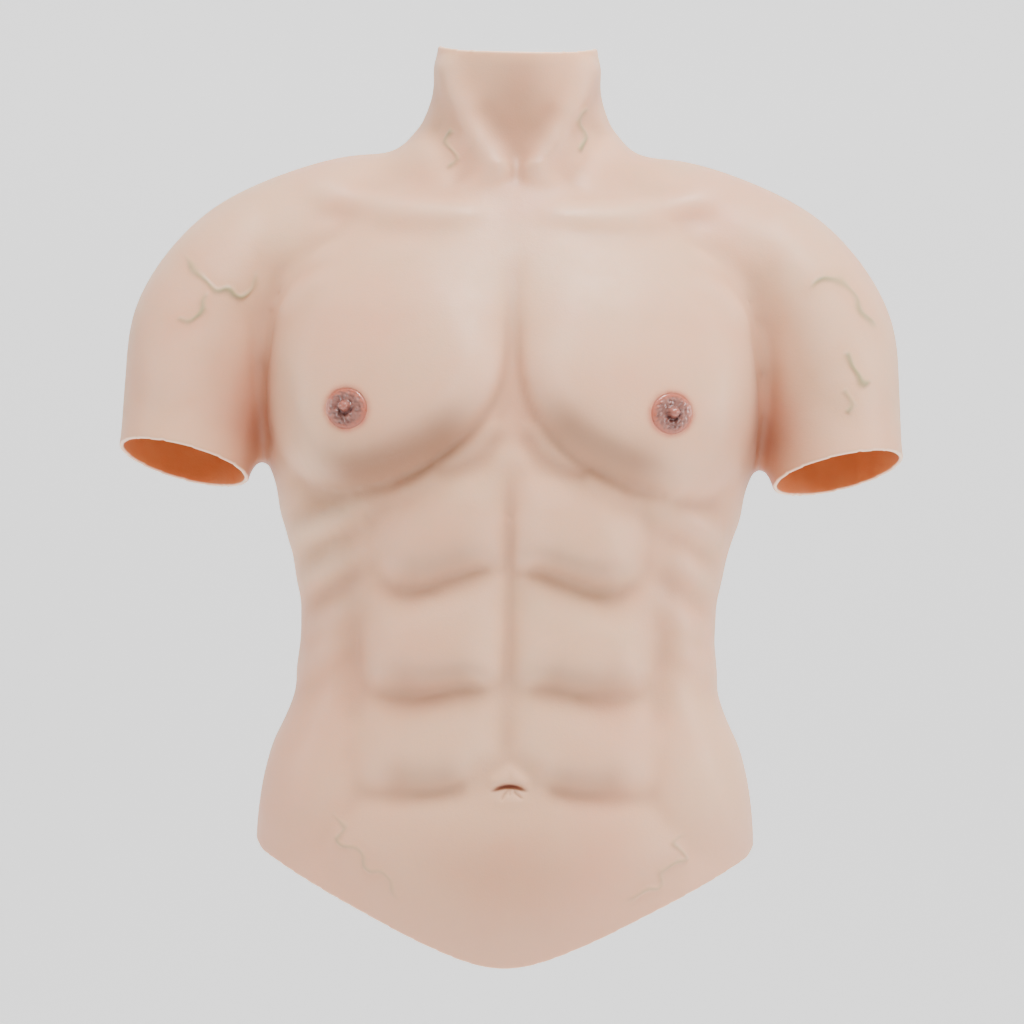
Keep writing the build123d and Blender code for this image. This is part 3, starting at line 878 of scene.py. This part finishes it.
def hollow_shade(uv):
    """1 where the painted shade is darkest: the lower part of each chest and belly muscle, and the throat."""
    out = np.maximum(blob(uv, (0, 26), (24, 44), 0.70), blob(uv, (0, -500), (78, 46), 0.42))
    for side, chest, share in (
        (-1, [(14, -170), (28, -184), (54, -202), (80, -214), (112, -221), (146, -208)], 1.25),
        (1, [(14, -164), (38, -188), (66, -206), (96, -216), (120, -220)], 0.95),
    ):
        mine = uv * [side, 1]
        for line, most, width in (
            (chest, share, 19),
            ([(12, -276), (36, -282), (62, -291), (86, -288)], 0.50, 16),
            ([(12, -354), (36, -361), (66, -366), (92, -362)], 0.55, 17),
            ([(22, -424), (50, -431), (90, -430)], 0.50, 16),
            ([(106, -262), (108, -330), (108, -400)], 0.30, 12),
        ):
            out = np.maximum(out, ridge(mine, line, most, width, 0.3))
    return out


# ---------------------------------------------------------------- materials
class Material:
    """A node material with short calls for its nodes."""

    def __init__(self, name):
        self.material = bpy.data.materials.new(name)
        self.material.use_nodes = True
        self.tree = self.material.node_tree
        self.shader = self.tree.nodes["Principled BSDF"]

    def node(self, kind, inputs=(), **settings):
        node = self.tree.nodes.new(kind)
        for key, value in settings.items():
            setattr(node, key, value)
        for key, value in dict(inputs).items():
            self.put(node.inputs[key], value)
        return node

    def put(self, socket, value):
        if isinstance(value, bpy.types.NodeSocket):
            self.tree.links.new(value, socket)
        else:
            socket.default_value = value

    def set(self, **inputs):
        for key, value in inputs.items():
            self.put(self.shader.inputs[key.replace("_", " ")], value)

    def place(self):
        return self.node("ShaderNodeTexCoord").outputs["Object"]

    def painted(self, name, most):
        value = self.node("ShaderNodeAttribute", attribute_name=name).outputs["Fac"]
        return self.math("MULTIPLY", value, most)

    def cells(self, scale):
        inputs = {"Vector": self.place(), "Scale": scale}
        return self.node("ShaderNodeTexVoronoi", inputs).outputs["Distance"]

    def scaled(self, axis, factor):
        place = self.node("ShaderNodeSeparateXYZ", {"Vector": self.place()})
        return self.math("MULTIPLY", place.outputs[axis], factor)

    def noise(self, scale, detail=4.0, rough=0.55):
        inputs = {"Vector": self.place(), "Scale": scale, "Detail": detail, "Roughness": rough}
        return self.node("ShaderNodeTexNoise", inputs).outputs["Fac"]

    def ramp(self, value, low, high, at_low=0.0, at_high=1.0):
        inputs = {"Value": value, "From Min": low, "From Max": high}
        inputs.update({"To Min": at_low, "To Max": at_high})
        return self.node("ShaderNodeMapRange", inputs, clamp=True).outputs["Result"]

    def math(self, operation, a, b=0.0):
        node = self.node("ShaderNodeMath", operation=operation)
        self.put(node.inputs[0], a)
        self.put(node.inputs[1], b)
        return node.outputs[0]

    def mix(self, amount, a, b):
        node = self.node("ShaderNodeMix", data_type="RGBA")
        self.put(node.inputs["Factor"], amount)
        self.put(node.inputs[6], a)
        self.put(node.inputs[7], b)
        return node.outputs[2]

    def bump(self, height, distance, strength=1.0, normal=None):
        inputs = {"Height": height, "Distance": distance, "Strength": strength}
        node = self.node("ShaderNodeBump", inputs)
        if normal is not None:
            self.put(node.inputs["Normal"], normal)
        return node.outputs["Normal"]


def srgb(r, g, b):
    """A linear colour from 0-255 values."""
    def linear(c):
        c /= 255
        return c / 12.92 if c <= 0.04045 else ((c + 0.055) / 1.055) ** 2.4

    return (linear(r), linear(g), linear(b), 1.0)


# The layers of colour, from the first brushed on: where, how much, and its colour. The crest layer is a
# painted highlight; the crease, shade and navel slit layers are painted shade, and the armpit layer is a
# pigment flush with painted shade.
SKIN_PAINT = [
    ("crest_highlight", 0.18, (240, 210, 184)),
    ("crease_shade", 0.27, (160, 108, 84)),
    ("shade", 0.78, (156, 110, 82)),
    ("vein", 1.0, (160, 146, 108)),
    ("hem", 0.50, (222, 166, 138)),
    ("pit", 0.85, (150, 78, 52)),
    ("cuff", 0.35, (226, 164, 128)),
    ("halo", 1.0, (190, 112, 88)),
    ("slit", 0.75, (134, 62, 50)),
    ("collar", 0.55, (236, 178, 136)),
    ("edge", 1.0, (246, 206, 176)),
]


def skin_material():
    """Cast platinum silicone, pigmented in layers: base tone, flush, mottle, veins and edges, with painted
    shade in creases and hollows and a painted highlight on crests.
    """
    m = Material("skin_silicone")
    flush = m.ramp(m.noise(9.0, 3.0), 0.42, 0.66)
    base = m.mix(flush, srgb(224, 174, 138), srgb(226, 164, 130))
    olive = m.ramp(m.noise(14.0, 4.0, 0.6), 0.5, 0.72, 0.0, 0.35)
    base = m.mix(olive, base, srgb(198, 164, 124))
    speck = m.ramp(m.noise(420.0, 3.0, 0.7), 0.44, 0.62, 0.0, 0.16)
    base = m.mix(speck, base, srgb(206, 166, 146))
    for name, most, colour in SKIN_PAINT:
        amount = m.painted(name, most)
        if name == "halo":
            amount = m.math("MULTIPLY", amount, m.ramp(m.noise(120.0, 3.0), 0.3, 0.6, 0.55, 1.0))
        base = m.mix(amount, base, srgb(*colour))
    amber = m.mix(m.ramp(m.noise(11.0), 0.35, 0.7), srgb(206, 112, 60), srgb(222, 142, 86))
    base = m.mix(m.painted("inside", 1.0), base, amber)
    grain = m.bump(m.noise(240.0, 5.0, 0.65), 0.0004, 0.35)
    normal = m.bump(m.cells(900.0), 0.0002, 0.25, grain)
    rough = m.ramp(m.noise(60.0, 4.0), 0.3, 0.7, 0.40, 0.52)
    m.set(Base_Color=base, Roughness=rough, Normal=normal)
    m.set(Subsurface_Weight=0.22, Subsurface_Scale=0.004, Subsurface_Radius=(1.0, 0.42, 0.24))
    m.set(IOR=1.41, Specular_IOR_Level=0.38, Sheen_Weight=0.05, Sheen_Roughness=0.5)
    return m.material


def areola_material():
    """The same silicone with dark pigment brushed on: mauve inside a redder rim, and painted shade in the
    fold under the nipple and in the wrinkles' troughs.
    """
    m = Material("areola_silicone")
    blotch = m.ramp(m.noise(190.0, 5.0, 0.7), 0.36, 0.66)
    base = m.mix(blotch, srgb(120, 78, 70), srgb(150, 100, 88))
    base = m.mix(m.painted("rim", 0.9), base, srgb(178, 98, 76))
    base = m.mix(m.painted("tip", 0.75), base, srgb(172, 98, 82))
    # Painted shade: the fold under the nipple and the wrinkles' troughs.
    base = m.mix(m.painted("fold", 0.9), base, srgb(80, 34, 30))
    normal = m.bump(m.noise(620.0, 4.0, 0.7), 0.0004, 0.6)
    m.set(Base_Color=base, Roughness=m.ramp(blotch, 0.0, 1.0, 0.24, 0.42), Normal=normal)
    m.set(Subsurface_Weight=0.15, Subsurface_Scale=0.003, Subsurface_Radius=(1.0, 0.3, 0.2))
    m.set(IOR=1.41, Specular_IOR_Level=0.5, Coat_Weight=0.45, Coat_Roughness=0.16)
    return m.material


def pad_material():
    """Soft silicone foam, pale and slightly mottled."""
    m = Material("pad_foam")
    tone = m.ramp(m.noise(30.0, 5.0), 0.35, 0.68)
    base = m.mix(tone, srgb(216, 178, 150), srgb(228, 196, 170))
    m.set(Base_Color=base, Roughness=0.62, Normal=m.bump(m.cells(700.0), 0.0006, 0.7))
    m.set(Subsurface_Weight=0.15, Subsurface_Scale=0.004, Subsurface_Radius=(1.0, 0.5, 0.3))
    return m.material


def knit_material():
    """A fine knitted lining: rows of stitches over a skin-coloured yarn."""
    m = Material("backing_knit")
    wale = m.math("SINE", m.scaled("X", 4200.0))
    course = m.math("SINE", m.scaled("Z", 5200.0))
    stitch = m.math("MULTIPLY", wale, course)
    loops = m.ramp(stitch, -1.0, 1.0)
    base = m.mix(loops, srgb(190, 152, 126), srgb(226, 194, 170))
    base = m.mix(m.ramp(m.noise(35.0, 4.0), 0.35, 0.7, 0.0, 0.35), base, srgb(176, 140, 118))
    m.set(Base_Color=base, Roughness=0.86, Normal=m.bump(stitch, 0.0004, 0.8))
    m.set(Sheen_Weight=0.25, Sheen_Roughness=0.5)
    return m.material


def woven_material(name, dark, light):
    """Zipper tape: a fine diagonal twill."""
    m = Material(name)
    twill = m.math("SINE", m.math("ADD", m.scaled("X", 3800.0), m.scaled("Z", 5600.0)))
    base = m.mix(m.ramp(twill, -1.0, 1.0), dark, light)
    m.set(Base_Color=base, Roughness=0.8, Normal=m.bump(twill, 0.0002, 0.7))
    m.set(Sheen_Weight=0.2, Sheen_Roughness=0.5)
    return m.material


def moulded_material(name, colour, rough):
    """Moulded plastic with a slight grain."""
    m = Material(name)
    tone = m.ramp(m.noise(260.0, 3.0), 0.35, 0.65, 0.0, 0.25)
    base = m.mix(tone, colour, tuple(c * 0.8 for c in colour[:3]) + (1.0,))
    scuffs = m.ramp(m.noise(900.0, 3.0), 0.3, 0.7, rough - 0.06, rough + 0.08)
    m.set(Base_Color=base, Roughness=scuffs, Normal=m.bump(m.noise(1500.0, 2.0), 0.00005, 0.4))
    m.set(IOR=1.5, Specular_IOR_Level=0.5)
    return m.material


def enamel_material():
    """Lacquered zinc, with worn bright edges where the lacquer is thin."""
    m = Material("slider_enamel")
    worn = m.ramp(m.noise(700.0, 5.0, 0.7), 0.66, 0.72)
    base = m.mix(worn, srgb(196, 150, 122), srgb(178, 172, 164))
    m.set(Base_Color=base, Roughness=m.ramp(worn, 0.0, 1.0, 0.28, 0.36), Metallic=worn)
    m.set(Normal=m.bump(m.noise(400.0, 3.0), 0.00008, 0.5), Coat_Weight=0.4, Coat_Roughness=0.12)
    return m.material


# ---------------------------------------------------------------- camera, light and floor
HALF_VIEW = 0.348  # what the camera sees each side of its middle, at the body
CAMERA_DISTANCE = EYE * MM
CAMERA_SIDE, CAMERA_DROP = 0.0012, 0.3144  # to the wearer's left, and down from the collar's top
CAMERA_LEAN = -0.93  # degrees
SWEEP_HALF, SWEEP_NEAR, SWEEP_BEND, SWEEP_RADIUS, SWEEP_RISE = 8.0, -6.0, 2.2, 1.6, 7.0
FLOOR_DROP = 0.55  # from the hem down to the floor, so that the hem's underside can be seen
LAMPS = [
    ("overhead", (0.30, -0.95, 1.9), 0.9, 122),
    ("front", (-0.5, -3.2, 1.2), 1.3, 12),
    ("left_side", (2.4, -0.5, 0.1), 0.8, 36),
    ("right_side", (-2.4, -0.5, 0.1), 0.8, 20),
]


def add_camera():
    """The camera, level with the middle of the body, and leaning a little as the body hangs."""
    data = bpy.data.cameras.new("camera")
    data.sensor_width = 36
    data.angle = 2 * math.atan(HALF_VIEW / CAMERA_DISTANCE)
    data.clip_end = 50
    camera = bpy.data.objects.new("camera", data)
    camera.location = (CAMERA_SIDE, -CAMERA_DISTANCE, cad_box[1].z - CAMERA_DROP)
    camera.rotation_euler = (math.radians(90), math.radians(CAMERA_LEAN), 0)
    bpy.context.scene.collection.objects.link(camera)
    bpy.context.scene.camera = camera


def add_lamp(name, place, size, power, target):
    """A soft square lamp."""
    data = bpy.data.lights.new(name, "AREA")
    data.size = size
    data.energy = power
    lamp = bpy.data.objects.new(name, data)
    lamp.location = place
    lamp.rotation_euler = (Vector(target) - Vector(place)).to_track_quat("-Z", "Y").to_euler()
    bpy.context.scene.collection.objects.link(lamp)


def add_studio():
    """A white sweep of floor and wall, a broad lamp overhead and fills in front and at the sides."""
    lo, hi = cad_box
    floor = lo.z - FLOOR_DROP
    profile = [(SWEEP_NEAR, floor)]
    for step in range(13):
        a = math.radians(90 * step / 12)
        profile.append((SWEEP_BEND + SWEEP_RADIUS * math.sin(a), floor + SWEEP_RADIUS * (1 - math.cos(a))))
    profile.append((SWEEP_BEND + SWEEP_RADIUS, floor + SWEEP_RISE))
    points = [(x / MM, y / MM, z / MM) for y, z in profile for x in (-SWEEP_HALF, SWEEP_HALF)]
    faces = [(2 * k, 2 * k + 1, 2 * k + 3, 2 * k + 2) for k in range(len(profile) - 1)]
    sweep = new_object("sweep", new_mesh("sweep", points, faces))
    m = Material("paper_white")
    m.set(Base_Color=(0.92, 0.92, 0.92, 1), Roughness=0.9)
    m.set(Emission_Color=(1, 1, 1, 1), Emission_Strength=0.7)
    sweep.data.materials.append(m.material)
    sweep.data.polygons.foreach_set("use_smooth", [True] * len(sweep.data.polygons))
    world = bpy.data.worlds.new("studio")
    world.use_nodes = True
    background = world.node_tree.nodes["Background"].inputs
    background["Color"].default_value = (1, 1, 1, 1)
    background["Strength"].default_value = 0.22
    bpy.context.scene.world = world
    for lamp in LAMPS:
        add_lamp(*lamp, Vector((0, 0, (lo.z + hi.z) / 2)))


# ---------------------------------------------------------------- the other pieces
def layered(front, back):
    """Points and faces of a closed sheet from two grids of points, front and back."""
    rows, columns = front.shape[:2]
    points = np.concatenate([front.reshape(-1, 3), back.reshape(-1, 3)])
    half = rows * columns
    faces = []
    for r in range(rows - 1):
        for c in range(columns - 1):
            a, b = r * columns + c, (r + 1) * columns + c
            faces.append((a, a + 1, b + 1, b))
            faces.append((half + a, half + b, half + b + 1, half + a + 1))
    rim = [(0, c) for c in range(columns)] + [(r, columns - 1) for r in range(1, rows)]
    rim += [(rows - 1, c) for c in range(columns - 2, -1, -1)] + [(r, 0) for r in range(rows - 2, 0, -1)]
    ids = [r * columns + c for r, c in rim]
    for a, b in zip(ids, ids[1:] + ids[:1]):
        faces.append((b, a, half + a, half + b))
    return points, faces


def outward(mesh):
    """The mesh with all its faces turned outward."""
    with edited(mesh) as bm:
        bmesh.ops.recalc_face_normals(bm, faces=bm.faces)
        if bm.calc_volume(signed=True) < 0:
            bmesh.ops.reverse_faces(bm, faces=bm.faces)
    return mesh


def kept_inside(points, clear):
    """The points, with those nearer than clear to the skin's inside moved off it."""
    out = np.array(points)
    for n, p in enumerate(points):
        place, normal, _, _ = inner_tree.find_nearest(p)
        place, normal = np.array(place), np.array(normal)
        depth = (p - place) @ normal
        if depth < clear:
            out[n] = place + normal * clear
    return out


def cad_mesh(name):
    """A copy of a CAD node's mesh in the row frame."""
    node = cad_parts[name]
    mesh = node.data.copy()
    mesh.transform(node.matrix_world)
    return mesh


def soft_pad(name):
    """A foam pad: its solid with rounded edges and a faintly lumpy surface, under the skin."""
    mesh = applied(cad_mesh(name), "REMESH", mode="VOXEL", voxel_size=PAD_CELL * MM)
    pairs = edges_of(mesh)
    points = smoothed(points_of(mesh), pairs, 5)
    normals = normals_of(points, mesh)
    lumps = np.sin(points[:, 0] / 7.3) * np.sin(points[:, 2] / 6.1 + 1.2) * np.sin(points[:, 1] / 8.0)
    points = kept_inside(points + normals * lumps[:, None] * 0.35, 0.5)
    move_points(mesh, points)
    obj = new_object(name + "_foam", mesh)
    finish_object(obj, foam)
    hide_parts(name)


def knitted_backing():
    """The knitted lining that holds the front pads: a closed sheet a millimetre thick."""
    shape = cad_mesh("pad_backing")
    corners = points_of(shape)
    tree = tree_of(corners, faces_of(shape))
    lo, hi = corners.min(0), corners.max(0)
    columns, rows, margin, thick = 66, 100, 0.6, 1.0

    def cast(x, z):
        """The solid's front at x and z, or None beside it."""
        return tree.ray_cast((x, -300, z), (0, 1, 0), 290)[0]

    front = np.empty((rows, columns, 3))
    for r, z in enumerate(np.linspace(lo[2] + margin, hi[2] - margin, rows)):
        reach = next(x for x in np.arange(hi[0], 0, -0.5) if cast(x, z) is not None) - 0.4
        for c in range(columns):
            front[r, c] = cast(reach * (2 * c / (columns - 1) - 1), z)
    front = kept_inside(front.reshape(-1, 3), 0.8).reshape(rows, columns, 3)
    across, up = np.gradient(front, axis=1), np.gradient(front, axis=0)
    normal = np.cross(across, up)
    normal /= np.linalg.norm(normal, axis=2)[..., None]
    back = front - normal * np.where(normal[..., 1:2] < 0, thick, -thick)
    points, faces = layered(front, back)
    obj = new_object("pad_backing_knit", outward(new_mesh("pad_backing_knit", points, faces)))
    finish_object(obj, knit)
    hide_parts("pad_backing")


def areola(name, centre, seed, nipple):
    """A pigmented areola with a wrinkled face, let into its dish in the skin. The nipple stands off
    its middle, with a fold under it; painted shade darkens the fold, most on its lower side, and the
    wrinkles' troughs."""
    rng = np.random.default_rng(seed)
    rings, spokes, bed = 40, 112, 1.2
    eye = np.array([0, -EYE, EYE_Z])
    across = (AREOLA_R + 1.0) * np.linspace(0, 1, rings) ** 0.9
    turns = np.linspace(0, 2 * np.pi, spokes, endpoint=False)
    flat = np.array([(r * math.cos(a), r * math.sin(a)) for r in across for a in turns])
    r = np.linalg.norm(flat, axis=1)
    off = flat - nipple
    away = np.linalg.norm(off, axis=1)
    low = ease(0.4, -0.8, off[:, 1] / np.maximum(away, 0.1))
    stem = ease(NIPPLE_FOOT, NIPPLE_TOP, away)
    fold = np.exp(-(((away - NIPPLE_FOOT) / 1.3) ** 2)) * (0.2 + 0.8 * low)
    wrinkle = np.zeros(len(flat))
    for _ in range(10):
        turn, length = rng.uniform(0, np.pi), rng.uniform(2.2, 5.0)
        wave = flat @ [math.cos(turn), math.sin(turn)] * 2 * np.pi / length
        wrinkle += np.sin(wave + rng.uniform(0, 6.3) + 0.9 * np.sin(flat[:, 0] / 2.3)) / 4.5
    band = ease(AREOLA_R, AREOLA_R - 4.0, r)
    height = AREOLA_DISH * ease(AREOLA_R + 1.2, AREOLA_R, r) + 0.15 - 0.5 * ease(12.4, 14.2, r)
    height += WRINKLE * wrinkle * band * (1 - 0.5 * stem) + 0.5 * band
    height += NIPPLE_HEIGHT * stem - 1.1 * fold + 0.5 * ease(2.0, 0.0, away)
    points, bottom = [], []
    for (du, dv), rise in zip(flat, height):
        ray = np.array([centre[0] + du, 0, centre[1] + dv]) - eye
        hit, normal, _, _ = outer_tree.ray_cast(eye, ray / np.linalg.norm(ray), 3000)
        place, normal = np.array(hit), np.array(normal)
        points.append(place + normal * rise)
        bottom.append(place - normal * bed)
    faces = []
    count = rings * spokes
    for ring in range(rings - 1):
        for k in range(spokes):
            j = (k + 1) % spokes
            a, b = ring * spokes + k, ring * spokes + j
            faces.append((a, a + spokes, b + spokes, b))
            faces.append((count + a, count + b, count + b + spokes, count + a + spokes))
    for k in range(spokes):
        a, b = count - spokes + k, count - spokes + (k + 1) % spokes
        faces.append((b, a, count + a, count + b))
    mesh = new_mesh(name, np.concatenate([points, bottom]), faces)
    rim = ease(AREOLA_R - 3.6, AREOLA_R - 0.4, r + 1.0 * wrinkle)
    # Painted shade in the fold under the nipple, strongest on its lower side, and in the wrinkles' troughs.
    dark = np.clip(fold + np.clip(-wrinkle, 0, 1) * 0.45 * band, 0, 1)
    set_values(mesh, tip=np.tile(stem, 2), rim=np.tile(rim, 2), fold=np.tile(dark, 2))
    with edited(mesh) as bm:
        bmesh.ops.remove_doubles(bm, verts=bm.verts, dist=1e-7)
    obj = new_object(name + "_silicone", outward(mesh))
    finish_object(obj, areola_skin)
    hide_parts(name)


def zipper_tape(side, name):
    """One woven tape with a stitched line along it and a corded edge at the teeth."""
    inner, outer, top, foot, depth, thick = 3.0, 13.5, 60.0, -320.0, 3.4, 0.6
    low, high = [math.asin((z - ARC_Z) / ARC_RADIUS) for z in (foot, top)]
    rows, columns = 430, 13
    front = np.empty((rows, columns, 3))
    back = np.empty((rows, columns, 3))
    for r in range(rows):
        angle = low + (high - low) * r / (rows - 1)
        for c in range(columns):
            share = c / (columns - 1)
            x = side * (inner + (outer - inner) * share)
            rib = 0.05 * math.cos(math.pi * c)
            stitch = 0.10 * math.cos(math.pi * r / 1.5) if c in (6, 7) else 0.0
            lip = 0.04 if c < 2 else 0.0
            for grid, under in ((front, depth - lip + 0.06 - rib - stitch), (back, depth + thick)):
                reach = ARC_RADIUS - under
                grid[r, c] = (x, ARC_Y + reach * math.cos(angle), ARC_Z + reach * math.sin(angle))
    points, faces = layered(front, back)
    obj = new_object(name + "_weave", outward(new_mesh(name, points, faces)))
    finish_object(obj, tape_weave)
    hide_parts(name)


def finish_object(obj, material):
    """Smooth faces and one material. Every new piece rides on the top."""
    obj.data.materials.clear()
    obj.data.materials.append(material)
    obj.data.polygons.foreach_set("use_smooth", [True] * len(obj.data.polygons))
    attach(obj, "top")


add_camera()
add_studio()
skin, skin_facts = build_skin()
paint_skin(skin.data, skin_facts)
finish_object(skin, skin_material())
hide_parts("torso_skin")
inner_tree = tree_of(skin_facts["inner"][0], [f[::-1] for f in skin_facts["inner"][1]])
outer_tree = tree_of(points_of(skin.data)[: skin_facts["outside"]], skin_facts["faces"])

foam, areola_skin, knit = pad_material(), areola_material(), knit_material()
tape_weave = woven_material("tape_weave", srgb(196, 158, 130), srgb(224, 190, 164))
areola("areola_left", AREOLAS["left"], 3, (0.6, 0.8))
areola("areola_right", AREOLAS["right"], 8, (-0.6, 1.4))
for pad in [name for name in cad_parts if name.endswith(("_pad", "_pad_left", "_pad_right"))]:
    soft_pad(pad)
knitted_backing()
for side, name in ((1, "zipper_tape_left"), (-1, "zipper_tape_right")):
    zipper_tape(side, name)

teeth_plastic = moulded_material("teeth_plastic", srgb(206, 166, 138), 0.34)
stop_plastic = moulded_material("stop_plastic", srgb(186, 144, 118), 0.36)
slider_enamel = enamel_material()
for material, names in (
    (teeth_plastic, ("teeth_left", "teeth_right")),
    (stop_plastic, ("top_stop_left", "top_stop_right", "bottom_stop")),
    (slider_enamel, ("slider", "pull_tab")),
):
    for name in names:
        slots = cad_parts["zipper_" + name].data.materials
        slots.clear()
        slots.append(material)
